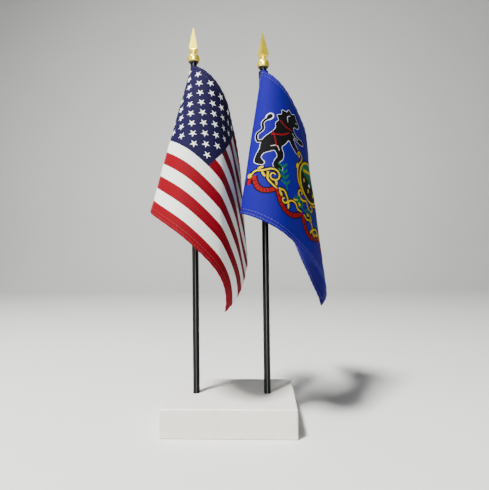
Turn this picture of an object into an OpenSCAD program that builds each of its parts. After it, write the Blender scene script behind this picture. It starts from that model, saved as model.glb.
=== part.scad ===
// Desk flag stand: a short board with two slim staffs, each with a gilt spear and a small flag.
// Millimetres, +Z up, origin at the centre of the board's underside, front towards -Y.
// Each flag is one flat sheet bent without stretching. Its straight rulings fan out from the top
// hoist corner, and past the hand-over ruling from a farther point on that same ruling.

/* [Board] */
// Length of the board, side to side
board_length = 88.9; // [80:0.1:120]
// Depth of the board, front to back
board_depth = 63.5; // [50:0.5:90]
// Thickness of the board
board_height = 19.05; // [18.5:0.05:25]
// Broken edge all round the board
edge_break = 0.6; // [0.2:0.1:1]

/* [Staffs] */
// Distance between the two staffs
staff_spacing = 50.8; // [50:0.1:60]
// Staff diameter
staff_diameter = 4.76; // [4.2:0.02:5]
// Staff length without its spear
staff_length = 254; // [240:1:280]
// Depth of the left hole
left_hole_depth = 11; // [8:0.5:16]
// Depth of the right hole
right_hole_depth = 16.7; // [8:0.1:17]
// Radial clearance of a staff in its hole
hole_clearance = 0.06; // [0.02:0.01:0.1]

/* [Spears] */
// Diameter of the ball under the point
ball_diameter = 8.7; // [8:0.1:10]
// Width of the square point across its flats
point_width = 6.4; // [5:0.1:7.5]
// Height of the spear above the ball's underside
spear_height = 26.4; // [22:0.2:30]
// Depth of the socket that takes the staff
socket_depth = 4; // [3:0.5:4.5]
// Turn of the left point about its staff
left_point_turn = 4; // [0:1:90]
// Turn of the right point about its staff
right_point_turn = 28; // [0:1:90]

/* [Flags] */
// Finished height of each flag along its staff
flag_hoist = 104; // [100:0.1:105]
// Finished length of each flag away from its staff
flag_fly = 152.4; // [148:0.1:154]
// Thickness of each flag's solid
cloth = 0.6; // [0.4:0.1:0.8]
// Gap between the left spear and the top edge of its flag
left_top_gap = 3.5; // [1:0.1:5]
// Gap between the right spear and the top edge of its flag
right_top_gap = 2.3; // [1:0.1:4]

/* [Hidden] */
$fn = 48;

staff_radius = staff_diameter / 2;
staff_tip_break = 0.5;
hole_mouth_break = 0.3;

sleeve_outer = 3.2;
sleeve_inner = staff_radius + 0.08;

// Spear proportions, measured up from the ball's underside
ball_foot_radius = 2.95;
neck_radius = 2.0;
point_foot = 8.0;
point_shoulder = 9.5;
tip_width = 0.5;
foot_slope = 0.75;
socket_radius = staff_radius + 0.02;

// Places of the two staffs
left_x = -staff_spacing / 2;
right_x = staff_spacing / 2;
left_foot = board_height - left_hole_depth;
right_foot = board_height - right_hole_depth;
left_spear_foot = left_foot + staff_length - socket_depth;
right_spear_foot = right_foot + staff_length - socket_depth;
left_flag_top = left_spear_foot - left_top_gap;
right_flag_top = right_spear_foot - right_top_gap;

// Drape of a flag: seam is the way from the staff to the line where the cloth leaves its sleeve, and
// heading the way it leaves, in degrees from +X; the fan starts apex_rise above the top edge;
// hand_over is the angle from the hoist at which the far fan takes over, and far is how far back
// that one starts. The top edge droops away from the staff: droop is its fall, how soon along the
// edge it comes and how fast it fades below. bends gives how tightly the rulings' path turns, against
// the angle from the hoist. The free lower corner curls inwards past a straight line: curl is where
// that line starts on the bottom edge, where it ends on the fly edge, and the radius of the curl.
left_drape = [
    ["seam", 253], ["heading", 156], ["apex_rise", 0.5], ["hand_over", 26.1], ["far", 112],
    ["droop", [0, 48, 4]],
    ["bends", [
        [0, -4], [12, -8.3], [22, -2.5], [31, -10.3], [39, -6.3], [45, -2.1], [51, 0.2], [60, -10]
    ]],
    ["curl", [107.5, 61.4, 48]]
];
right_drape = [
    ["seam", 253], ["heading", 156], ["apex_rise", 0.4], ["hand_over", 20], ["far", 139],
    ["droop", [14, 48, 3.8]],
    ["bends", [
        [0, -14], [12, -3.3], [22, -13.9], [31, -0.9], [39, -8.8], [45, 4], [51, -5], [60, -13.5]
    ]],
    ["curl", [136, 88, 30]]
];
apex_offset = sleeve_outer + cloth / 2 + 0.1;

step = 0.5;
last_step = 190;
fly_cells = 46;
hoist_cells = 20;

// A vector turned about a unit axis
function turned(v, axis, angle) =
    v * cos(angle) + cross(axis, v) * sin(angle) + axis * (axis * v) * (1 - cos(angle));

// Directions of the rulings, one for each step of flat angle from the hoist
function rulings(bends, d, t, i = 0) =
    i > last_step ? [] :
    let (
        bend = lookup((i + 0.5) * step, bends),
        spin = cross(d, t) + bend * d,
        axis = unit(spin),
        angle = norm(spin) * step
    )
    concat([d], rulings(bends, turned(d, axis, angle), turned(t, axis, angle), i + 1));

function unit(v) = v / norm(v);

function ruling_at(fan, angle) =
    let (
        i = max(0, floor(angle / step)),
        part = angle / step - i
    )
    unit(fan[i] * (1 - part) + fan[i + 1] * part);

function value(drape, name) = drape[search([name], drape)[0]][1];

// Place of the fanned cloth's flat point, s along the fly and h down from the top edge, from the apex
function fanned_point(s, h, fan, drape) =
    let (
        hand_over = value(drape, "hand_over"),
        far = value(drape, "far"),
        droop = value(drape, "droop"),
        fade = pow(max(1 - h / flag_hoist, 0), droop[2]),
        sag = droop[0] * (1 - exp(-s / droop[1])) * fade,
        rise = h + value(drape, "apex_rise") + sag,
        away = s + far * sin(hand_over),
        down = rise + far * cos(hand_over)
    )
    atan2(s, rise) <= hand_over
        ? norm([s, rise]) * ruling_at(fan, atan2(s, rise))
        : norm([away, down]) * ruling_at(fan, atan2(away, down)) - far * ruling_at(fan, hand_over);

// Place of the cloth's flat point, with its free lower corner curled
function cloth_point(s, h, fan, drape) =
    let (
        curl = value(drape, "curl"),
        along = unit([flag_fly - curl[0], curl[1] - flag_hoist]),
        out = [-along[1], along[0]],
        past = (s - curl[0]) * out[0] + (h - flag_hoist) * out[1]
    )
    past <= 0
        ? fanned_point(s, h, fan, drape)
        : curled_point([s, h] - past * out, past, along, out, fan, drape);

function curled_point(root, past, along, out, fan, drape) =
    let (
        radius = value(drape, "curl")[2],
        angle = past / radius * 180 / PI,
        way = unit(slope(root, out, fan, drape)),
        lift = unit(cross(slope(root, along, fan, drape), way))
    )
    fanned_point(root[0], root[1], fan, drape) + radius * (sin(angle) * way + (1 - cos(angle)) * lift);

function slope(root, way, fan, drape) =
    let (e = 0.5, ahead = root + e * way, behind = root - e * way)
    fanned_point(ahead[0], ahead[1], fan, drape) - fanned_point(behind[0], behind[1], fan, drape);

// Unit vector across the cloth at a flat point
function cloth_normal(s, h, fan, drape) =
    let (
        e = 0.2,
        along = cloth_point(s + e, h, fan, drape) - cloth_point(s - e, h, fan, drape),
        down = cloth_point(s, h + e, fan, drape) - cloth_point(s, h - e, fan, drape)
    )
    unit(cross(along, down));

// Board with broken edges and two blind staff holes
module broken_rectangle(a, b) {
    polygon([
        [-a / 2 + edge_break, -b / 2], [a / 2 - edge_break, -b / 2],
        [a / 2, -b / 2 + edge_break], [a / 2, b / 2 - edge_break],
        [a / 2 - edge_break, b / 2], [-a / 2 + edge_break, b / 2],
        [-a / 2, b / 2 - edge_break], [-a / 2, -b / 2 + edge_break]
    ]);
}

module staff_hole(x, depth) {
    radius = staff_radius + hole_clearance;
    translate([x, 0, board_height - depth])
        cylinder(r = radius, h = depth + 1);
    translate([x, 0, board_height - hole_mouth_break])
        cylinder(r1 = radius, r2 = radius + hole_mouth_break * 2, h = hole_mouth_break * 2);
}

module board() {
    color("whitesmoke")
    difference() {
        intersection() {
            linear_extrude(board_height)
                broken_rectangle(board_length, board_depth);
            translate([0, board_depth / 2, board_height / 2])
                rotate([90, 0, 0])
                linear_extrude(board_depth)
                broken_rectangle(board_length, board_height);
            translate([-board_length / 2, 0, board_height / 2])
                rotate([90, 0, 90])
                linear_extrude(board_length)
                broken_rectangle(board_depth, board_height);
        }
        staff_hole(left_x, left_hole_depth);
        staff_hole(right_x, right_hole_depth);
    }
}

// Staff: a plain rod with a broken lower end
module staff(x, foot) {
    color("black")
    translate([x, 0, foot])
        rotate_extrude()
        polygon([
            [0, 0], [staff_radius - staff_tip_break, 0], [staff_radius, staff_tip_break],
            [staff_radius, staff_length], [0, staff_length]
        ]);
}

// Spear: a ball with a socket below, and a square tapered point above
module point_blank() {
    half = point_width / 2;
    tip = tip_width / 2;
    polyhedron(
        points = [
            for (level = [[point_foot, half], [point_shoulder, half], [spear_height, tip]])
                for (corner = [[-1, -1], [1, -1], [1, 1], [-1, 1]])
                    [corner[0] * level[1], corner[1] * level[1], level[0]]
        ],
        faces = concat(
            [[0, 1, 2, 3]],
            [for (row = [0, 4]) for (i = [0:3])
                [row + i, row + i + 4, row + (i + 1) % 4 + 4, row + (i + 1) % 4]],
            [[11, 10, 9, 8]]
        )
    );
}

module spear(x, foot, turn) {
    ball_radius = ball_diameter / 2;
    ball_centre = sqrt(pow(ball_radius, 2) - pow(ball_foot_radius, 2));
    color("goldenrod")
    translate([x, 0, foot])
        difference() {
            union() {
                intersection() {
                    translate([0, 0, ball_centre])
                        sphere(r = ball_radius);
                    cylinder(r = ball_diameter, h = ball_diameter);
                }
                cylinder(r = neck_radius, h = point_shoulder);
                intersection() {
                    rotate([0, 0, turn])
                        point_blank();
                    rotate_extrude()
                        polygon([
                            [0, point_foot], [neck_radius, point_foot],
                            [point_width, point_foot + (point_width - neck_radius) * foot_slope],
                            [point_width, spear_height + 1], [0, spear_height + 1]
                        ]);
                }
            }
            translate([0, 0, -1])
                cylinder(r = socket_radius, h = socket_depth + 1);
        }
}

// Sleeve: the hoist edge of the flag, sewn into a tube round the staff
module sleeve(x, top) {
    color("navy")
    translate([x, 0, top - flag_hoist])
        difference() {
            cylinder(r = sleeve_outer, h = flag_hoist);
            translate([0, 0, -1])
                cylinder(r = sleeve_inner, h = flag_hoist + 2);
        }
}

// Flag: the bent sheet as one thin closed shell
module flag(x, top, drape) {
    seam = value(drape, "seam");
    heading = value(drape, "heading");
    fan = rulings(value(drape, "bends"), [0, 0, -1], [cos(heading), sin(heading), 0]);
    rows = hoist_cells + 1;
    side = (fly_cells + 1) * rows;
    inset = 0.01;
    places = [
        for (i = [0:fly_cells]) for (j = [0:hoist_cells])
            let (
                s = max(inset, flag_fly * i / fly_cells),
                h = flag_hoist * j / hoist_cells,
                p = cloth_point(s, h, fan, drape),
                n = cloth_normal(s, h, fan, drape)
            )
            [p + n * cloth / 2, p - n * cloth / 2]
    ];
    function at(i, j) = i * rows + j;
    quads = [
        for (i = [0:fly_cells - 1]) for (j = [0:hoist_cells - 1])
            [at(i, j), at(i + 1, j), at(i + 1, j + 1), at(i, j + 1)]
    ];
    rim = concat(
        [for (j = [0:hoist_cells - 1]) at(0, j)],
        [for (i = [0:fly_cells - 1]) at(i, hoist_cells)],
        [for (j = [hoist_cells:-1:1]) at(fly_cells, j)],
        [for (i = [fly_cells:-1:1]) at(i, 0)]
    );
    color("mediumblue")
    translate([x, 0, top + value(drape, "apex_rise")])
        translate(apex_offset * [cos(seam), sin(seam), 0])
        polyhedron(
            points = concat([for (p = places) p[0]], [for (p = places) p[1]]),
            faces = concat(
                [for (q = quads) each [[q[0], q[2], q[1]], [q[0], q[3], q[2]]]],
                [for (q = quads) each [
                    [side + q[0], side + q[1], side + q[2]],
                    [side + q[0], side + q[2], side + q[3]]
                ]],
                [for (k = [0:len(rim) - 1])
                    let (a = rim[k], b = rim[(k + 1) % len(rim)])
                    each [[a, side + b, b], [a, side + a, side + b]]]
            )
        );
}

module left_staff() {
    staff(left_x, left_foot);
}

module right_staff() {
    staff(right_x, right_foot);
}

module left_spear() {
    spear(left_x, left_spear_foot, left_point_turn);
}

module right_spear() {
    spear(right_x, right_spear_foot, right_point_turn);
}

module left_sleeve() {
    sleeve(left_x, left_flag_top);
}

module right_sleeve() {
    sleeve(right_x, right_flag_top);
}

module left_flag() {
    flag(left_x, left_flag_top, left_drape);
}

module right_flag() {
    flag(right_x, right_flag_top, right_drape);
}

board();
left_staff();
right_staff();
left_spear();
right_spear();
left_sleeve();
right_sleeve();
left_flag();
right_flag();
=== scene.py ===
"""Desk flag stand: the looks of two small flags on slim staffs in a painted board.

Places come from the CAD frame in metres. The cloth is worked out flat in millimetres: s runs from
the seam along the fly and h down from the top edge. The drape's values repeat those of part.scad.
"""
import math

import bpy
import numpy as np
from mathutils import Matrix, Vector
from mathutils.geometry import delaunay_2d_cdt


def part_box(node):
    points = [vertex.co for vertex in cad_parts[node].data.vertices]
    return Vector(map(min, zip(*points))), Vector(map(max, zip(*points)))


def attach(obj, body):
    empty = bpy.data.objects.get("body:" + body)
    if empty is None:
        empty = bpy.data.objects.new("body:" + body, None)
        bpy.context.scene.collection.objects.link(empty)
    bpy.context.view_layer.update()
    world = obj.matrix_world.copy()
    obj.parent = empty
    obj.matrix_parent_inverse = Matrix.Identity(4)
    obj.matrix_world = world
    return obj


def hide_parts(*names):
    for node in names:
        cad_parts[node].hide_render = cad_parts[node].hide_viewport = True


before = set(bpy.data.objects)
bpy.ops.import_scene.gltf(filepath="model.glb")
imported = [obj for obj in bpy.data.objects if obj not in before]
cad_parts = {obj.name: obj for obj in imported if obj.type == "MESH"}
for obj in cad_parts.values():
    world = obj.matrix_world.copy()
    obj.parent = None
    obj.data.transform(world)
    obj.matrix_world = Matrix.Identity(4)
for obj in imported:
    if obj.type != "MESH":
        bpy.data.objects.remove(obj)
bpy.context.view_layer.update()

MM = 0.001

# ---------------------------------------------------------------- sizes, in millimetres and degrees
HOIST = 104.0
FLY = 152.4
SLEEVE_WRAP = 20.5         # cloth that goes once round the staff
SEAM_OFFSET = 3.6          # from the staff's axis to the seam
SLEEVE_TIGHTENS = 0.55     # how much closer the wrap ends than it starts
CLOTH_HALF = 0.11
HEM_WIDTH = 4.4
HEM_FOLD = 0.2
STITCH_ROWS = (1.3, 3.5)   # distance of each row from a hem's edge
SEAM_ROWS = (0.9, 2.4)     # distance of each row from the sleeve's seam
CELL = 1.7                 # spacing of the flat grid
UV_SPAN = 200.0            # flat length that one UV unit stands for

# The fan of rulings is worked out every STEP degrees, up to LAST_STEP steps.
STEP = 0.5
LAST_STEP = 190

# seam and heading are azimuths. bends pairs an angle across the fan with how hard the sheet turns
# there. droop is how far the top edge is eased down, over what length, and how fast that fades
# towards the bottom. curl runs from a point of the bottom edge to a point of the fly edge, and has a
# radius. Each crease has its start, its end, its height away from the print, and its reach.
# Most of these values are the rounded output of a separate program's least-squares fit to the real
# flags' outlines. The angles in bends, the left apex_rise and droop, the right curl and all creases
# were set one by one.
LEFT_DRAPE = {
    "seam": 253, "heading": 156, "apex_rise": 0.5, "hand_over": 26.1, "far": 112,
    "droop": (0, 48, 4),
    "bends": ((0, -4), (12, -8.3), (22, -2.5), (31, -10.3), (39, -6.3), (45, -2.1), (51, 0.2), (60, -10)),
    "curl": (107.5, 61.4, 48),
    "creases": (
        ((40, 6), (124, 112), -0.9, 6.0), ((34, 6), (47, 16), 0.9, 1.6), ((52, 2), (66, 24), 0.6, 2.4),
    ),
}
RIGHT_DRAPE = {
    "seam": 253, "heading": 156, "apex_rise": 0.4, "hand_over": 20, "far": 139,
    "droop": (14, 48, 3.8),
    "bends": ((0, -14), (12, -3.3), (22, -13.9), (31, -0.9), (39, -8.8), (45, 4), (51, -5), (60, -13.5)),
    "curl": (136, 88, 30),
    "creases": (((8, 6), (22, 62), -0.35, 3.5), ((96, 104), (128, 84), 0.35, 2.0)),
}


# ---------------------------------------------------------------- camera and lights
def make_camera():
    """Camera close in front, a little right of the middle and nearly level.

    Its place and its three angles are the rounded output of a fit.
    """
    lens = bpy.data.cameras.new("camera")
    lens.sensor_fit = "HORIZONTAL"
    lens.sensor_width = 36.0
    lens.lens = 29.45
    lens.clip_start = 0.01
    camera = bpy.data.objects.new("camera", lens)
    place = Matrix.Translation((0.0237, -0.2880, 0.1176))
    yaw, pitch, roll = math.radians(2.66), math.radians(1.37), math.radians(-0.68)
    turn = Matrix.Rotation(yaw, 4, "Z") @ Matrix.Rotation(math.pi / 2 + pitch, 4, "X")
    camera.matrix_world = place @ turn @ Matrix.Rotation(roll, 4, "Z")
    bpy.context.scene.collection.objects.link(camera)
    bpy.context.scene.camera = camera


def make_area_light(name, place, aim, size, watts, colour=(1.0, 1.0, 1.0)):
    """Rectangular light at one place, turned to face another."""
    data = bpy.data.lights.new(name, "AREA")
    data.shape = "RECTANGLE"
    data.size, data.size_y = size
    data.energy = watts
    data.color = colour
    light = bpy.data.objects.new(name, data)
    light.location = place
    light.rotation_euler = (Vector(aim) - Vector(place)).to_track_quat("-Z", "Y").to_euler()
    bpy.context.scene.collection.objects.link(light)
    return light


def make_lights():
    """High key from the front left, weak side light, dim sky, and a strip that only gloss reflects."""
    middle = (0.0, 0.0, 0.16)
    make_area_light("key", (-0.37, -0.43, 1.20), middle, (0.20, 0.20), 46.0, (1.0, 0.99, 0.97))
    make_area_light("side", (-0.95, -0.62, 0.30), middle, (0.30, 0.60), 7.0)
    strip = make_area_light("strip", (0.04, -1.15, 0.47), middle, (0.05, 0.90), 75.0)
    strip.visible_diffuse = False
    world = bpy.data.worlds.new("studio")
    world.use_nodes = True
    background = world.node_tree.nodes["Background"]
    background.inputs["Color"].default_value = (0.76, 0.80, 0.92, 1.0)
    background.inputs["Strength"].default_value = 0.05
    bpy.context.scene.world = world


def make_floor():
    """Pale sweep: a floor that curves up into a wall far behind."""
    front, back, wall, bend, half_width = -1.2, 1.0, 1.6, 0.45, 2.2
    bend_steps = 12
    profile = [(front, 0.0)]
    for i in range(bend_steps + 1):
        a = math.pi / 2 * i / bend_steps
        profile.append((back + bend * math.sin(a), bend - bend * math.cos(a)))
    profile.append((back + bend, wall))
    verts = [(x, y, z) for x in (-half_width, half_width) for y, z in profile]
    count = len(profile)
    faces = [(i, count + i, count + i + 1, i + 1) for i in range(count - 1)]
    floor = add_mesh("floor", verts, faces, [material_floor()])
    for polygon in floor.data.polygons:
        polygon.use_smooth = True


# ---------------------------------------------------------------- materials
BLACK = (0.0, 0.0, 0.0, 1.0)
WHITE = (1.0, 1.0, 1.0, 1.0)


def srgb(r, g, b):
    """Display colour, 0 to 255, as a linear colour with alpha."""
    def linear(c):
        c = c / 255.0
        return c / 12.92 if c <= 0.04045 else ((c + 0.055) / 1.055) ** 2.4
    return (linear(r), linear(g), linear(b), 1.0)


def shaded(colour, share):
    """A colour made darker or lighter by one factor, up to full white."""
    return tuple(min(1.0, c * share) for c in colour[:3]) + (1.0,)


class Shader:
    """Small helper that adds nodes to one new material."""

    def __init__(self, name):
        self.material = bpy.data.materials.new(name)
        self.material.use_nodes = True
        self.nodes = self.material.node_tree.nodes
        self.links = self.material.node_tree.links
        self.surface = self.nodes["Principled BSDF"]
        self.bump = None

    def add(self, kind, **values):
        node = self.nodes.new(kind)
        for key, value in values.items():
            setattr(node, key, value)
        return node

    def link(self, source, target):
        self.links.new(source, target)

    def set(self, **sockets):
        for key, value in sockets.items():
            self.surface.inputs[key.replace("_", " ")].default_value = value

    def noise(self, coordinates, scale, detail=3.0, roughness=0.5):
        node = self.add("ShaderNodeTexNoise")
        node.inputs["Scale"].default_value = scale
        node.inputs["Detail"].default_value = detail
        node.inputs["Roughness"].default_value = roughness
        self.link(coordinates, node.inputs["Vector"])
        return node.outputs["Fac"]

    def object_place(self):
        return self.add("ShaderNodeTexCoord").outputs["Object"]

    def stretched(self, coordinates, scale, rotation=(0.0, 0.0, 0.0)):
        node = self.add("ShaderNodeMapping")
        node.inputs["Scale"].default_value = scale
        node.inputs["Rotation"].default_value = rotation
        self.link(coordinates, node.inputs["Vector"])
        return node.outputs["Vector"]

    def ramp(self, factor, low, high, dark, light):
        node = self.add("ShaderNodeValToRGB")
        node.color_ramp.elements[0].position = low
        node.color_ramp.elements[0].color = dark
        node.color_ramp.elements[1].position = high
        node.color_ramp.elements[1].color = light
        self.link(factor, node.inputs["Fac"])
        return node.outputs["Color"]

    def spread(self, factor, low, high):
        """A 0 to 1 factor, moved to run from low to high."""
        node = self.add("ShaderNodeMapRange")
        node.inputs["To Min"].default_value = low
        node.inputs["To Max"].default_value = high
        self.link(factor, node.inputs["Value"])
        return node.outputs["Result"]

    def mix(self, factor, first, second, blend="MIX"):
        node = self.add("ShaderNodeMix", data_type="RGBA", blend_type=blend)
        for socket, value in ((0, factor), (6, first), (7, second)):
            if isinstance(value, bpy.types.NodeSocket):
                self.link(value, node.inputs[socket])
            else:
                node.inputs[socket].default_value = value
        return node.outputs[2]

    def add_bump(self, height, strength, distance):
        """Bump laid over the bumps added before it."""
        node = self.add("ShaderNodeBump")
        node.inputs["Strength"].default_value = strength
        node.inputs["Distance"].default_value = distance
        self.link(height, node.inputs["Height"])
        if self.bump:
            self.link(self.bump, node.inputs["Normal"])
        self.bump = node.outputs["Normal"]
        self.link(self.bump, self.surface.inputs["Normal"])


def material_floor():
    """Plain matt floor of the studio."""
    shader = Shader("pale_floor")
    shader.set(Base_Color=(0.78, 0.78, 0.77, 1.0), Roughness=0.85)
    return shader.material


def material_painted_wood():
    """White paint rolled over soft wood: faint grain, orange peel, yellowed and rubbed edges."""
    shader = Shader("painted_wood")
    place = shader.object_place()
    grain = shader.noise(shader.stretched(place, (14.0, 90.0, 320.0)), 6.0, 6.0, 0.6)
    peel = shader.noise(place, 900.0, 2.0)
    stain = shader.noise(place, 38.0, 4.0)
    base = shader.ramp(stain, 0.35, 0.75, srgb(236, 236, 230), srgb(246, 247, 243))
    grained = shader.mix(0.22, base, shader.ramp(grain, 0.3, 0.7, srgb(206, 203, 192), srgb(250, 250, 246)))
    edge = shader.add("ShaderNodeNewGeometry").outputs["Pointiness"]
    rubbed = shader.mix(shader.spread(shader.noise(place, 160.0), 0.0, 1.0), grained, srgb(222, 216, 200))
    worn = shader.ramp(edge, 0.52, 0.60, BLACK, WHITE)
    shader.link(shader.mix(worn, grained, rubbed), shader.surface.inputs["Base Color"])
    shader.link(shader.spread(peel, 0.36, 0.52), shader.surface.inputs["Roughness"])
    shader.add_bump(grain, 0.35, 0.00012)
    shader.add_bump(peel, 0.25, 0.00006)
    return shader.material


def material_black_gloss():
    """Black moulded staff: gloss that runs along it, drawing lines and a little dust."""
    shader = Shader("black_gloss")
    place = shader.object_place()
    lines = shader.noise(shader.stretched(place, (1500.0, 1500.0, 9.0)), 1.0, 3.0)
    dust = shader.noise(place, 420.0, 5.0, 0.7)
    dusty = shader.ramp(dust, 0.58, 0.98, srgb(2, 2, 2), srgb(16, 16, 18))
    shader.link(dusty, shader.surface.inputs["Base Color"])
    shader.link(shader.spread(lines, 0.31, 0.40), shader.surface.inputs["Roughness"])
    around = shader.add("ShaderNodeTangent", direction_type="RADIAL", axis="Z")
    shader.link(around.outputs["Tangent"], shader.surface.inputs["Tangent"])
    shader.set(Specular_IOR_Level=0.15, Anisotropic=0.92, Anisotropic_Rotation=0.25)
    shader.add_bump(lines, 0.08, 0.00002)
    return shader.material


def material_gilt():
    """Gold plating over black plastic: brassy, darker in patches, and bare at the foot of the ball."""
    shader = Shader("gilt")
    place = shader.object_place()
    patches = shader.noise(place, 240.0, 4.0, 0.6)
    scuffs = shader.noise(shader.stretched(place, (900.0, 2600.0, 500.0), (0.4, 0.2, 0.7)), 1.0, 5.0, 0.7)
    gold = shader.ramp(patches, 0.30, 0.70, srgb(214, 184, 20), srgb(242, 222, 64))
    height = shader.add("ShaderNodeSeparateXYZ")
    shader.link(shader.add("ShaderNodeTexCoord").outputs["Generated"], height.inputs[0])
    waver = shader.add("ShaderNodeMath", operation="MULTIPLY_ADD")
    shader.link(patches, waver.inputs[0])
    waver.inputs[1].default_value = 0.02
    shader.link(height.outputs["Z"], waver.inputs[2])
    plated = shader.ramp(waver.outputs[0], 0.040, 0.047, BLACK, WHITE)
    shader.link(shader.mix(plated, srgb(4, 4, 5), gold), shader.surface.inputs["Base Color"])
    metal = shader.add("ShaderNodeMath", operation="MULTIPLY")
    shader.link(plated, metal.inputs[0])
    metal.inputs[1].default_value = 0.55
    shader.link(metal.outputs[0], shader.surface.inputs["Metallic"])
    shader.link(shader.spread(scuffs, 0.22, 0.40), shader.surface.inputs["Roughness"])
    shader.add_bump(scuffs, 0.12, 0.00003)
    return shader.material


def material_cloth(name, colour, reverse=False):
    """Printed woven polyester: plain weave with slubs, a soft sheen, and a reverse darkened a little by a
    duller print and mostly by painted shade.
    """
    shader = Shader(name + ("_reverse" if reverse else ""))
    flat = shader.add("ShaderNodeUVMap", uv_map="flat").outputs["UV"]
    warp = shader.add("ShaderNodeTexWave", wave_type="BANDS", bands_direction="X")
    weft = shader.add("ShaderNodeTexWave", wave_type="BANDS", bands_direction="Y")
    for wave in (warp, weft):
        wave.inputs["Scale"].default_value = 150.0
        wave.inputs["Distortion"].default_value = 0.6
        wave.inputs["Detail"].default_value = 1.0
        shader.link(flat, wave.inputs["Vector"])
    weave = shader.add("ShaderNodeMath", operation="MAXIMUM")
    shader.link(warp.outputs["Fac"], weave.inputs[0])
    shader.link(weft.outputs["Fac"], weave.inputs[1])
    slubs = shader.noise(shader.stretched(flat, (40.0, 900.0, 1.0)), 1.0, 3.0, 0.6)
    mottle = shader.noise(flat, 190.0, 4.0, 0.65)
    # The reverse face's print is made darker: a little for a duller print, most of it painted shade.
    dull_and_painted_shade = 0.66 if reverse else 1.0
    deep = shaded(colour, 0.74 * dull_and_painted_shade)
    full = shaded(colour, 1.08 * dull_and_painted_shade)
    printed = shader.ramp(mottle, 0.32, 0.60, deep, full)
    threads = shader.ramp(weave.outputs[0], 0.35, 0.95, (0.74, 0.74, 0.76, 1.0), WHITE)
    woven = shader.mix(0.55, printed, threads, "MULTIPLY")
    slubbed = shader.mix(0.25, woven, shader.ramp(slubs, 0.3, 0.7, deep, full))
    shader.link(slubbed, shader.surface.inputs["Base Color"])
    shader.link(shader.spread(slubs, 0.62, 0.80), shader.surface.inputs["Roughness"])
    shader.set(Sheen_Weight=0.015, Sheen_Roughness=0.4, Specular_IOR_Level=0.04)
    shader.add_bump(weave.outputs[0], 0.45, 0.00005)
    shader.add_bump(slubs, 0.3, 0.00005)
    return shader.material


def material_thread(name, colour):
    """Sewing thread: two plies that show as fine slanting ridges."""
    shader = Shader(name)
    place = shader.object_place()
    plies = shader.noise(shader.stretched(place, (5200.0, 5200.0, 5200.0), (0.5, 0.5, 0.0)), 1.0, 2.0)
    ridged = shader.ramp(plies, 0.35, 0.65, shaded(colour, 0.7), colour)
    shader.link(ridged, shader.surface.inputs["Base Color"])
    shader.set(Roughness=0.6, Sheen_Weight=0.03, Specular_IOR_Level=0.08)
    shader.add_bump(plies, 0.3, 0.00005)
    return shader.material


# ---------------------------------------------------------------- mesh helpers
def add_mesh(name, verts, faces, materials):
    """New object of the given faces, in metres."""
    mesh = bpy.data.meshes.new(name)
    mesh.from_pydata([tuple(v) for v in verts], [], [tuple(f) for f in faces])
    for material in materials:
        mesh.materials.append(material)
    piece = bpy.data.objects.new(name, mesh)
    bpy.context.scene.collection.objects.link(piece)
    return piece


def smooth_step(x):
    """0 below 0, 1 above 1, and a smooth rise between."""
    x = np.clip(x, 0.0, 1.0)
    return x * x * (3.0 - 2.0 * x)


# ---------------------------------------------------------------- drape
def turned(v, axis, angle):
    """Vector v turned about a unit axis, angle in radians."""
    return (
        v * math.cos(angle) + np.cross(axis, v) * math.sin(angle)
        + axis * np.dot(axis, v) * (1.0 - math.cos(angle))
    )


def unit(v):
    """Vectors scaled to length 1."""
    return v / np.linalg.norm(v, axis=-1, keepdims=True)


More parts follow.
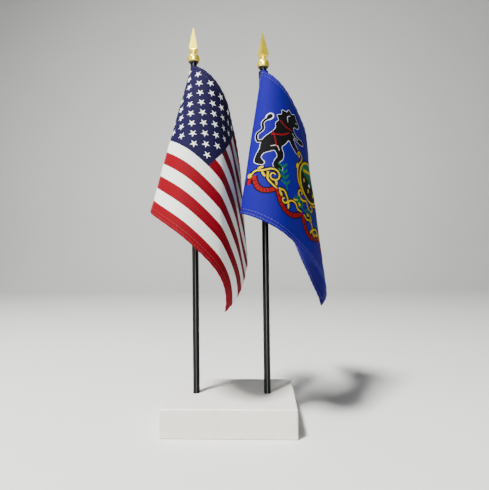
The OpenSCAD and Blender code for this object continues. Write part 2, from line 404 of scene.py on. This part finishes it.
class Drape:
    """The bent sheet of part.scad, as a function from flat (s, h) to a place in millimetres."""

    NUDGE = 0.5                # half of the flat step over which a slope is taken

    def __init__(self, drape, staff_x, top):
        self.drape = drape
        self.staff_x = staff_x
        self.top = top
        self.fan = self.rulings()

    def rulings(self):
        """Direction of each straight line of the fan, STEP degrees of flat cloth apart."""
        heading = math.radians(self.drape["heading"])
        knots = [k for k, _ in self.drape["bends"]]
        bends = [b for _, b in self.drape["bends"]]
        d = np.array((0.0, 0.0, -1.0))
        t = np.array((math.cos(heading), math.sin(heading), 0.0))
        fan = []
        for i in range(LAST_STEP + 1):
            fan.append(d)
            spin = np.cross(d, t) + np.interp((i + 0.5) * STEP, knots, bends) * d
            length = np.linalg.norm(spin)
            angle = math.radians(length * STEP)
            d, t = turned(d, spin / length, angle), turned(t, spin / length, angle)
        return np.array(fan)

    def ruling_at(self, angle):
        """Direction of the ruling at an angle from the sleeve, in degrees."""
        place = np.clip(angle / STEP, 0.0, LAST_STEP - 0.001)
        index = np.floor(place).astype(int)
        part = (place - index)[..., None]
        return unit(self.fan[index] * (1.0 - part) + self.fan[index + 1] * part)

    def fanned(self, s, h):
        """The sheet without its curl: a fan from the top corner, then one from farther away."""
        far = self.drape["far"]
        hand_over = self.drape["hand_over"]
        g = math.radians(hand_over)
        fall, reach, power = self.drape["droop"]
        sag = fall * (1.0 - np.exp(-s / reach)) * np.maximum(1.0 - h / HOIST, 0.0) ** power
        rise = h + self.drape["apex_rise"] + sag
        away = s + far * math.sin(g)
        down = rise + far * math.cos(g)
        angle = np.degrees(np.arctan2(s, rise))
        near_fan = np.hypot(s, rise)[..., None] * self.ruling_at(angle)
        far_fan = np.hypot(away, down)[..., None] * self.ruling_at(np.degrees(np.arctan2(away, down)))
        far_fan -= far * self.ruling_at(np.array(float(hand_over)))
        seam = math.radians(self.drape["seam"])
        apex = (
            self.staff_x + SEAM_OFFSET * math.cos(seam),
            SEAM_OFFSET * math.sin(seam),
            self.top + self.drape["apex_rise"],
        )
        return np.array(apex) + np.where((angle <= hand_over)[..., None], near_fan, far_fan)

    def slope(self, s, h, way):
        """How the fanned sheet runs in one flat direction."""
        ds, dh = self.NUDGE * way[0], self.NUDGE * way[1]
        return self.fanned(s + ds, h + dh) - self.fanned(s - ds, h - dh)

    def cloth(self, s, h):
        """The fanned sheet, with its free lower corner curled past a straight line."""
        start, end, radius = self.drape["curl"]
        along = np.array((FLY - start, end - HOIST))
        along /= np.linalg.norm(along)
        out = np.array((-along[1], along[0]))
        past = np.maximum((s - start) * out[0] + (h - HOIST) * out[1], 0.0)
        root_s, root_h = s - past * out[0], h - past * out[1]
        way = unit(self.slope(root_s, root_h, out))
        lift = unit(np.cross(self.slope(root_s, root_h, along), way))
        angle = (past / radius)[..., None]
        return self.fanned(root_s, root_h) + radius * (np.sin(angle) * way + (1 - np.cos(angle)) * lift)

    def sleeve(self, s, h):
        """The hoist edge, wound once round the staff on a slowly tightening circle."""
        turn = -s / SEAM_OFFSET
        radius = SEAM_OFFSET - SLEEVE_TIGHTENS * turn / (2 * math.pi)
        angle = math.radians(self.drape["seam"]) + turn
        return np.stack(
            (self.staff_x + radius * np.cos(angle), radius * np.sin(angle), self.top - h), axis=-1
        )

    def place(self, s, h):
        """Sleeve or hanging cloth, whichever the flat point is on."""
        return np.where((s < 0)[..., None], self.sleeve(s, h), self.cloth(np.maximum(s, 0.0), h))

    def across(self, s, h):
        """Unit vector across the cloth, away from the printed face."""
        nudge = 0.35
        along = self.place(s + nudge, h) - self.place(s - nudge, h)
        down = self.place(s, h + nudge) - self.place(s, h - nudge)
        return unit(np.cross(along, down))


# ---------------------------------------------------------------- print outlines, flat millimetres
def curve_through(points, closed=False, samples=5):
    """Smooth line through a few given points (Catmull-Rom)."""
    p = np.array(points, float)
    count = len(p)
    spans = count if closed else count - 1
    out = []
    for i in range(spans):
        if closed:
            a, b, c, d = (p[(i + k) % count] for k in (-1, 0, 1, 2))
        else:
            a, b, c, d = p[max(i - 1, 0)], p[i], p[i + 1], p[min(i + 2, count - 1)]
        for k in range(samples):
            t = k / samples
            out.append(
                0.5 * (2 * b + (c - a) * t + (2 * a - 5 * b + 4 * c - d) * t * t
                       + (3 * b - a - 3 * c + d) * t ** 3)
            )
    if not closed:
        out.append(p[-1])
    return np.array(out)


def stroke(line, width, end_width=None, closed=False):
    """Band of a given width along a line, tapering to end_width."""
    line = np.array(line, float)
    if closed:
        line = np.vstack((line, line[:1]))
    way = np.gradient(line, axis=0)
    if closed:
        way[0] = way[-1] = line[1] - line[-2]
    side = np.stack((-way[:, 1], way[:, 0]), axis=1)
    side /= np.maximum(np.linalg.norm(side, axis=1, keepdims=True), 1e-9)
    last = width if end_width is None else end_width
    half = np.linspace(width, last, len(line))[:, None] / 2
    return np.vstack((line + side * half, (line - side * half)[::-1]))


def ellipse(centre, radii, turn=0.0, count=14):
    """Ellipse turned by an angle in degrees."""
    a = np.arange(count) * 2 * math.pi / count
    x, y = radii[0] * np.cos(a), radii[1] * np.sin(a)
    c, s = math.cos(math.radians(turn)), math.sin(math.radians(turn))
    return np.stack((centre[0] + c * x - s * y, centre[1] + s * x + c * y), axis=1)


def spiral(centre, radii, angles, count=18):
    """Line from radii[0] at angles[0] to radii[1] at angles[1], in degrees."""
    r = np.linspace(radii[0], radii[1], count)
    a = np.radians(np.linspace(angles[0], angles[1], count))
    return np.stack((centre[0] + r * np.cos(a), centre[1] + r * np.sin(a)), axis=1)


def star(centre, radius, points=5, inner=0.382):
    """Star with one point towards the top edge, and inner corners at a share of its radius."""
    out = []
    for i in range(2 * points):
        r = radius if i % 2 == 0 else radius * inner
        a = math.pi * i / points - math.pi / 2
        out.append((centre[0] + r * math.cos(a), centre[1] + r * math.sin(a)))
    return np.array(out)


def rectangle(s0, h0, s1, h1):
    return np.array(((s0, h0), (s1, h0), (s1, h1), (s0, h1)), float)


def sagging(start, end, sag, count=18):
    """Line hanging between two points."""
    t = np.linspace(0.0, 1.0, count)
    line = np.outer(1 - t, start) + np.outer(t, end)
    line[:, 1] += sag * 4 * t * (1 - t)
    return line


def stripes_print():
    """Thirteen stripes and a starred canton: layers of (colour, outlines), painted in order.

    print_start and canton_width come from the same fit as the left drape.
    """
    print_start = -2.0
    trimmed = 0.3
    canton_width = 68.6
    star_radius = 2.85
    stripe = (HOIST + trimmed) / 13
    reds = [
        rectangle(print_start, max(0.0, i * stripe - trimmed), FLY, min(HOIST, (i + 1) * stripe - trimmed))
        for i in range(0, 13, 2)
    ]
    canton_end = 7 * stripe - trimmed
    canton = rectangle(print_start, 0.0, print_start + canton_width, canton_end)
    stars = []
    for row in range(1, 10):
        for column in range(1, 12):
            if (row + column) % 2 == 0:
                along = print_start + column * canton_width / 12
                down = row * (canton_end + trimmed) / 10 - trimmed
                stars.append(star((along, down), star_radius, inner=0.36))
    return [("red", reds), ("navy", [canton]), ("white", stars)]


def lion_outline():
    """Heraldic lion standing up, facing right."""
    return curve_through((
        (47.3, 17.0), (46.4, 20.2), (43.2, 22.6), (42.6, 26.2), (47.0, 28.2), (51.8, 26.2), (55.2, 24.4),
        (57.4, 26.8), (54.6, 29.6), (49.2, 32.4), (45.4, 33.6), (49.4, 36.8), (54.2, 37.8), (56.6, 40.6),
        (53.0, 42.6), (47.2, 41.6), (42.8, 39.4), (41.6, 44.4), (40.2, 49.0), (43.4, 52.4), (44.8, 57.0),
        (43.6, 61.0), (47.4, 63.2), (46.6, 66.0), (41.0, 66.0), (39.8, 62.0), (40.2, 57.6), (36.8, 54.8),
        (34.0, 57.4), (31.0, 60.2), (30.6, 63.8), (34.4, 66.2), (33.4, 68.4), (27.6, 68.4), (26.4, 63.2),
        (26.8, 58.0), (25.8, 54.0), (26.4, 49.0), (28.8, 44.0), (30.2, 38.4), (28.6, 34.4), (29.6, 31.0),
        (27.0, 27.8), (29.4, 24.6), (28.4, 20.8), (32.0, 18.8), (32.8, 14.8), (36.8, 14.4), (39.4, 10.4),
        (41.8, 12.8), (44.6, 13.6), (46.8, 15.2),
    ), closed=True, samples=3)


def mirrored(outline):
    """The same outline on the other half of the fly."""
    return np.stack((FLY - outline[:, 0], outline[:, 1]), axis=1)[::-1]


def leafy_sprig(line, leaf, pairs):
    """Stem with pairs of slim leaves."""
    line = np.array(line, float)
    way = math.atan2(line[-1][1] - line[0][1], line[-1][0] - line[0][0])
    splay = math.radians(48)
    leaves = [stroke(line, 0.9, 0.5)]
    for i in range(pairs):
        at = line[int((i + 1) * (len(line) - 1) / (pairs + 1))]
        for turn in (way - splay, way + splay):
            centre = at + 0.55 * leaf * np.array((math.cos(turn), math.sin(turn)))
            leaves.append(ellipse(centre, (leaf / 2, leaf / 6), math.degrees(turn), 10))
    return leaves


def emblem_print():
    """Heraldic group of no real bearer: two lions, a roundel, scrollwork, sprigs and plain ribbons."""
    lion = lion_outline()
    tail = curve_through(((27.6, 51.0), (23.2, 53.0), (20.4, 48.6), (22.8, 43.6), (20.6, 38.8), (22.4, 34.6)))
    tuft_at = (23.0, 32.4)
    scrolls = [
        np.vstack((
            curve_through(((29.4, 77.6), (31.4, 74.0), (36.0, 71.8), (40.4, 68.4))),
            spiral((44.2, 72.0), (4.9, 1.2), (-130, 300), 26),
        )),
        curve_through(((39.4, 71.2), (41.6, 76.2), (46.4, 78.4), (50.0, 79.2))),
        np.vstack((
            curve_through(((51.0, 78.4), (55.4, 77.2), (59.0, 80.0))),
            spiral((57.8, 82.8), (3.2, 0.8), (-60, 250), 20),
        )),
        curve_through(((60.4, 83.4), (63.2, 79.4), (67.4, 78.4), (70.6, 80.6), (74.8, 79.6))),
        np.vstack((
            curve_through(((76.0, 68.4), (72.0, 71.4), (67.6, 70.6))),
            spiral((68.6, 67.6), (3.0, 0.9), (100, 380), 18),
        )),
        np.vstack((
            spiral((56.6, 40.4), (1.0, 4.0), (60, 330), 18),
            curve_through(((60.2, 42.2), (58.4, 47.6), (58.8, 53.6), (62.4, 60.4), (68.0, 64.8))),
        )),
    ]
    leaflets = (
        ((33.6, 70.6), -40), ((37.4, 74.2), 35), ((47.6, 75.6), 60), ((53.6, 80.6), 40),
        ((62.4, 84.6), 70), ((66.2, 75.8), -30), ((71.0, 76.6), 20), ((57.0, 50.6), 80),
    )
    knob = (28.8, 78.4)
    ribbons = [
        curve_through(((31.0, 84.4), (29.8, 80.6), (32.4, 77.6))),
        sagging((32.0, 77.6), (49.2, 79.4), 6.4),
        sagging((50.4, 79.0), (75.8, 80.4), 9.6),
    ]
    pleats = []
    for ribbon in ribbons[1:]:
        for i in range(2, len(ribbon) - 2, 2):
            way = ribbon[i + 1] - ribbon[i - 1]
            side = np.array((-way[1], way[0])) / np.linalg.norm(way)
            pleats.append(stroke(np.array((ribbon[i] - side * 1.1, ribbon[i] + side * 1.1)), 0.5))
    sprigs = (
        leafy_sprig(curve_through(((57.0, 75.0), (53.0, 70.0), (49.0, 65.0), (46.4, 59.0))), 5.2, 4)
        + leafy_sprig(curve_through(((76.0, 77.0), (70.4, 74.4), (64.0, 73.6))), 4.4, 3)
    )
    middle = (FLY / 2, 49.0)
    ring = ellipse(middle, (14.6, 16.6), count=40)
    upper = ring[ring[:, 1] <= middle[1] + 0.1]
    upper = upper[np.argsort(np.arctan2(upper[:, 1] - middle[1] - 1.0, upper[:, 0] - middle[0]))]
    lozenges = [
        star((middle[0] + x, middle[1] + y), 2.3, 2, 0.62) for x, y in ((-8.0, 5.4), (0.0, 8.6), (8.0, 5.4))
    ]
    chevron = stroke(np.array(((-11.0, -2.4), (0.0, -11.0), (11.0, -2.4))) + middle, 2.6)
    crest = star((FLY / 2, 22.0), 6.4, 8, 0.5)
    cords = [curve_through(((41.8, 29.2), (36.4, 31.4), (30.6, 30.0))),
             curve_through(((40.4, 33.4), (36.6, 39.6), (29.6, 44.8))),
             curve_through(((29.4, 41.6), (33.0, 46.0), (37.0, 51.6)))]
    inner_lines = [curve_through(((33.0, 53.4), (36.8, 50.4), (39.6, 52.6))),
                   curve_through(((36.0, 18.0), (34.2, 22.0), (36.2, 26.0))),
                   curve_through(((43.0, 30.6), (46.6, 31.2), (50.6, 29.4)))]
    left_half = [
        ("white", [stroke(lion, 0.62, closed=True), stroke(tail, 2.3), ellipse(tuft_at, (2.5, 3.6), 20)]),
        ("black", [lion, stroke(tail, 1.8), ellipse(tuft_at, (1.7, 2.8), 20)]),
        ("white", [stroke(line, 0.4) for line in inner_lines] + [ellipse((43.6, 16.6), (0.6, 0.5))]),
        ("scarlet", [stroke(line, 1.0) for line in cords]),
        ("black", [stroke(line, 4.6) for line in ribbons]),
        ("scarlet", [stroke(line, 2.8) for line in ribbons]),
        ("black", pleats),
        ("black", [stroke(line, 3.3, 2.8) for line in scrolls] + [ellipse(knob, (2.6, 2.6))]),
        ("black", [ellipse(at, (3.1, 1.7), turn) for at, turn in leaflets]),
        ("gold", [stroke(line, 1.4, 0.9) for line in scrolls] + [ellipse(knob, (1.8, 1.8))]),
        ("gold", [ellipse(at, (2.3, 0.9), turn) for at, turn in leaflets]),
        ("green", sprigs),
    ]
    right_half = [(colour, [mirrored(o) for o in outlines]) for colour, outlines in left_half]
    roundel = [
        ("black", [ring, stroke(ring, 3.4, closed=True)]),
        ("green", [upper]),
        ("gold", [chevron] + lozenges + [crest]),
        ("gold", [stroke(ring, 1.6, closed=True)]),
        ("white", [star((FLY / 2, 52.0), 2.0)]),
    ]
    return left_half + right_half + roundel


# ---------------------------------------------------------------- cloth meshes
def inside(points, outline):
    """Which points lie inside an outline, by winding number."""
    winding = np.zeros(len(points), int)
    low, high = outline.min(axis=0), outline.max(axis=0)
    near = np.nonzero(np.all((points >= low) & (points <= high), axis=1))[0]
    if len(near) == 0:
        return winding > 0
    x, y = points[near, 0], points[near, 1]
    turns = np.zeros(len(near), int)
    for (x0, y0), (x1, y1) in zip(outline, np.roll(outline, -1, axis=0)):
        left = (x1 - x0) * (y - y0) - (x - x0) * (y1 - y0)
        turns += ((y0 <= y) & (y1 > y) & (left > 0)).astype(int)
        turns -= ((y0 > y) & (y1 <= y) & (left < 0)).astype(int)
    winding[near] = turns
    return winding != 0


def hem_distance(s, h):
    """Distance to the nearest hemmed edge: top, bottom and fly."""
    return np.minimum(np.minimum(h, HOIST - h), FLY - s)


def grid_points():
    """Flat grid, with extra rows where the hems fold."""
    rows = (0.5, 1.3, 2.4, 3.5, 4.2, 4.8)
    inner = 5.6
    start = -SLEEVE_WRAP
    s_lines = list(np.linspace(start, FLY - inner, round((FLY - inner - start) / CELL)))
    s_lines += [FLY - r for r in rows]
    h_lines = list(np.linspace(inner, HOIST - inner, round((HOIST - 2 * inner) / CELL)))
    h_lines += list(rows) + [HOIST - r for r in rows]
    points = [(s, h) for s in s_lines for h in h_lines]
    points += [(s, h) for s in s_lines[1:] for h in (0.0, HOIST)]
    points += [(s, h) for s in (start, FLY) for h in h_lines]
    return np.array(points)


def clipped(outline):
    """Outline kept within the cloth."""
    out = outline.copy()
    out[:, 0] = np.clip(out[:, 0], -SLEEVE_WRAP, FLY)
    out[:, 1] = np.clip(out[:, 1], 0.0, HOIST)
    return out


def densified(outline, longest=2.0):
    """Outline with long sides split, so that they follow the drape."""
    out = []
    for a, b in zip(outline, np.roll(outline, -1, axis=0)):
        count = max(1, math.ceil(np.linalg.norm(b - a) / longest))
        out += [a + (b - a) * k / count for k in range(count)]
    return np.array(out)


def print_mesh(layers):
    """Flat triangles whose edges follow the print, and the colour of each triangle."""
    outlines = [densified(clipped(o)) for _, group in layers for o in group]
    corners = rectangle(-SLEEVE_WRAP, 0.0, FLY, HOIST)
    marks = np.vstack(outlines)
    kept = []
    for point in grid_points():
        gap = np.linalg.norm(marks - point, axis=1).min()
        on_rim = point[1] <= 0.0 or point[1] >= HOIST
        if gap > (0.05 if on_rim else 0.45):
            kept.append(point)
    points = [corners, kept]
    edges = [(0, 1), (1, 2), (2, 3), (3, 0)]
    start = len(corners) + len(kept)
    for outline in outlines:
        points.append(outline)
        count = len(outline)
        edges += [(start + k, start + (k + 1) % count) for k in range(count)]
        start += count
    flat = np.vstack(points)
    result = delaunay_2d_cdt([Vector(p) for p in flat], edges, [], 0, 1e-4, False)
    flat = np.array([tuple(v) for v in result[0]])
    triangles = np.array(result[2])
    a, b, c = (flat[triangles[:, k]] for k in range(3))
    area = (b[:, 0] - a[:, 0]) * (c[:, 1] - a[:, 1]) - (c[:, 0] - a[:, 0]) * (b[:, 1] - a[:, 1])
    triangles[area < 0] = triangles[area < 0][:, ::-1]
    middles = (a + b + c) / 3
    colours = np.zeros(len(triangles), int)
    names = ["ground"]
    for colour, group in layers:
        if colour not in names:
            names.append(colour)
        for outline in group:
            colours[inside(middles, clipped(outline))] = names.index(colour)
    return flat, triangles, colours, names


def ripples(s, h, seed):
    """Small unevenness across the cloth: slack folds down the fan and puckers along the hems."""
    broad_height, broad_waves = 0.32, 21.0
    fine_height, fine_waves = 0.2, 47.0
    slack_height, pucker_height, pucker_reach = 0.22, 0.16, 5.0
    clear_of_sleeve = smooth_step(s / 18.0)
    reach = smooth_step((np.hypot(s, h) - 15.0) / 60.0)
    angle = np.degrees(np.arctan2(s + 40.0, h + 70.0))
    folds = broad_height * np.sin(np.radians(angle * broad_waves) + seed)
    folds = folds + fine_height * np.sin(np.radians(angle * fine_waves) + 2 * seed)
    slack = slack_height * np.sin(s / 13.0 + seed) * np.sin(h / 9.0 + 1.7 * seed)
    edge = np.exp(-(hem_distance(s, h) / pucker_reach) ** 2)
    along = np.where(FLY - s < np.minimum(h, HOIST - h), h, s)
    pucker = pucker_height * np.sin(along / 0.92 + 1.3 * np.sin(along / 5.1 + seed)) * edge
    return clear_of_sleeve * ((folds + slack) * reach + pucker)


def crease(s, h, line):
    """Sharp ridge along a flat line, given its start, end, height away from the print, and reach."""
    start, end, height, reach = line
    along = np.array(end, float) - start
    length = np.linalg.norm(along)
    along /= length
    far = (s - start[0]) * along[0] + (h - start[1]) * along[1]
    off = (s - start[0]) * along[1] - (h - start[1]) * along[0]
    fade = 0.3 * length
    ends = smooth_step(far / fade) * smooth_step((length - far) / fade)
    crest = 0.8
    return height * np.exp((crest - np.hypot(off, crest)) / reach) * ends


def thickness(s, h, reverse):
    """Half thickness of the cloth: a folded hem, pulled in along its stitches."""
    shown_in_front = 0.35
    step_start, step_run = HEM_WIDTH + 0.2, 0.5
    pulled_in, stitch_width = 0.55, 0.35
    d = hem_distance(s, h)
    fold = HEM_FOLD if reverse else shown_in_front * HEM_FOLD
    half = CLOTH_HALF + fold * smooth_step((step_start - d) / step_run)
    for row in STITCH_ROWS:
        half = half - pulled_in * fold * np.exp(-((d - row) / stitch_width) ** 2)
    return half


def surface_place(drape, s, h, seed, reverse):
    """Place of a point on the printed face or on the reverse."""
    n = drape.across(s, h)
    side = thickness(s, h, True) if reverse else -thickness(s, h, False)
    raised = ripples(s, h, seed) + sum(crease(s, h, line) for line in drape.drape["creases"])
    return drape.place(s, h) + n * (raised + side)[:, None]


def make_cloth(name, drape, layers, colours, seed):
    """One flag with its sleeve, as a thin closed sheet with both faces printed."""
    flat, triangles, painted, names = print_mesh(layers)
    s, h = flat[:, 0], flat[:, 1]
    count = len(flat)
    front = surface_place(drape, s, h, seed, False)
    back = surface_place(drape, s, h, seed, True)
    sides = {}
    for triangle, colour in zip(triangles, painted):
        for k in range(3):
            sides[(int(triangle[k]), int(triangle[(k + 1) % 3]))] = colour
    rim = [side for side in sides if (side[1], side[0]) not in sides]
    faces = [tuple(int(v) for v in t[::-1]) for t in triangles]
    faces += [tuple(int(v) + count for v in t) for t in triangles]
    faces += [(a, b, b + count, a + count) for a, b in rim]
    materials = [material_cloth(f"{name}_{n}", colours[n]) for n in names]
    # The reverse-face copies are darker: partly a duller print, mostly painted shade.
    materials += [material_cloth(f"{name}_{n}", colours[n], reverse=True) for n in names]
    piece = add_mesh(name, np.vstack((front, back)) * MM, faces, materials)
    index = np.concatenate((painted, painted + len(names), [sides[side] for side in rim]))
    piece.data.polygons.foreach_set("material_index", index.astype(np.int32))
    piece.data.polygons.foreach_set("use_smooth", np.ones(len(faces), bool))
    layer = piece.data.uv_layers.new(name="flat")
    corners = np.empty(len(piece.data.loops), dtype=np.int32)
    piece.data.loops.foreach_get("vertex_index", corners)
    both = np.vstack((flat, flat)) / UV_SPAN
    layer.data.foreach_set("uv", both[corners].ravel())
    piece.data.update()
    return piece


def stitch_lines():
    """Stitched rows as flat lines: two along each hem and two down the seam."""
    hem_start, seam_margin = 2.0, 1.0
    lines = []
    for row in STITCH_ROWS:
        lines.append(((hem_start, row), (FLY - row, row)))
        lines.append(((FLY - row, row), (FLY - row, HOIST - row)))
        lines.append(((FLY - row, HOIST - row), (hem_start, HOIST - row)))
    for row in SEAM_ROWS:
        lines.append(((row, seam_margin), (row, HOIST - seam_margin)))
    return lines


def colour_under(layers, point):
    """Name of the print colour at one flat point."""
    found = "ground"
    for colour, group in layers:
        if any(inside(point[None, :], outline)[0] for outline in group):
            found = colour
    return found


def make_stitching(name, drape, layers, colours, seed, bare):
    """Lockstitch on both faces, printed over with the cloth: threads that dip in at their ends."""
    pitch, gap, radius, sides = 2.3, 0.45, 0.12, 6
    stands_out = 0.35          # of the radius
    names = list(colours)
    verts, faces, painted = [], [], []
    profile = ((0.0, 0.35), (0.22, 1.0), (0.78, 1.0), (1.0, 0.35))
    for start, end in stitch_lines():
        start, end = np.array(start), np.array(end)
        length = np.linalg.norm(end - start)
        way = (end - start) / length
        for i in range(int(length / pitch)):
            first = start + way * (i * pitch + gap / 2)
            steps = np.array([first + way * (pitch - gap) * t for t, _ in profile])
            under = names.index(colour_under(layers, steps.mean(axis=0)))
            painted += [under] * (2 * ((len(profile) - 1) * sides + 2))
            for reverse in (False, True):
                base = surface_place(drape, steps[:, 0], steps[:, 1], seed, reverse)
                out = drape.across(steps[:, 0], steps[:, 1]) * (1.0 if reverse else -1.0)
                axis = base[-1] - base[0]
                axis = axis / np.linalg.norm(axis)
                mark = len(verts)
                for (t, swell), at, up in zip(profile, base, out):
                    side = np.cross(axis, up)
                    for k in range(sides):
                        a = 2 * math.pi * k / sides
                        ring = side * math.cos(a) + up * (math.sin(a) + stands_out)
                        verts.append((at + ring * radius * swell) * MM)
                for r in range(len(profile) - 1):
                    for k in range(sides):
                        a, b = mark + r * sides + k, mark + r * sides + (k + 1) % sides
                        faces.append((a, b, b + sides, a + sides))
                faces.append(tuple(mark + k for k in range(sides))[::-1])
                last = mark + (len(profile) - 1) * sides
                faces.append(tuple(last + k for k in range(sides)))
    materials = [material_thread(f"{name}_{n}", lightened(colours[n], bare)) for n in names]
    piece = add_mesh(name, verts, faces, materials)
    piece.data.polygons.foreach_set("material_index", np.array(painted, dtype=np.int32))
    piece.data.polygons.foreach_set("use_smooth", np.ones(len(faces), bool))
    return piece


def lightened(colour, bare):
    """Print colour as it shows on raised thread, part of which stays bare white."""
    undyed = 0.85
    return tuple(c * (1.0 - bare) + bare * undyed for c in colour[:3]) + (1.0,)


# ---------------------------------------------------------------- the two flags
STRIPES_COLOURS = {
    "ground": srgb(240, 241, 236), "white": srgb(243, 244, 241),
    "red": srgb(122, 0, 18), "navy": srgb(20, 14, 54),
}
EMBLEM_COLOURS = {
    "ground": srgb(22, 4, 122), "white": srgb(226, 230, 238), "black": srgb(3, 3, 4),
    "scarlet": srgb(130, 0, 12), "gold": srgb(192, 164, 2), "green": srgb(0, 92, 56),
}


def make_flag(side, values, layers, colours, seed, bare):
    low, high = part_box(f"{side}_sleeve")
    staff_x = (low[0] + high[0]) / 2 / MM
    drape = Drape(values, staff_x, high[2] / MM)
    cloth = make_cloth(f"{side}_flag_cloth", drape, layers, colours, seed)
    stitching = make_stitching(f"{side}_flag_stitching", drape, layers, colours, seed, bare)
    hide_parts(f"{side}_flag", f"{side}_sleeve")
    for piece in (cloth, stitching):
        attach(piece, f"{side}_banner")


def dress_node(node, material):
    """Give a carried-over CAD node its material."""
    piece = bpy.data.objects[node]
    piece.data.materials.clear()
    piece.data.materials.append(material)


make_camera()
make_lights()
make_floor()

dress_node("board", material_painted_wood())
black_gloss = material_black_gloss()
gilt = material_gilt()
for side in ("left", "right"):
    dress_node(f"{side}_staff", black_gloss)
    dress_node(f"{side}_spear", gilt)

make_flag("left", LEFT_DRAPE, stripes_print(), STRIPES_COLOURS, 0.6, 0.05)
make_flag("right", RIGHT_DRAPE, emblem_print(), EMBLEM_COLOURS, 2.1, 0.14)
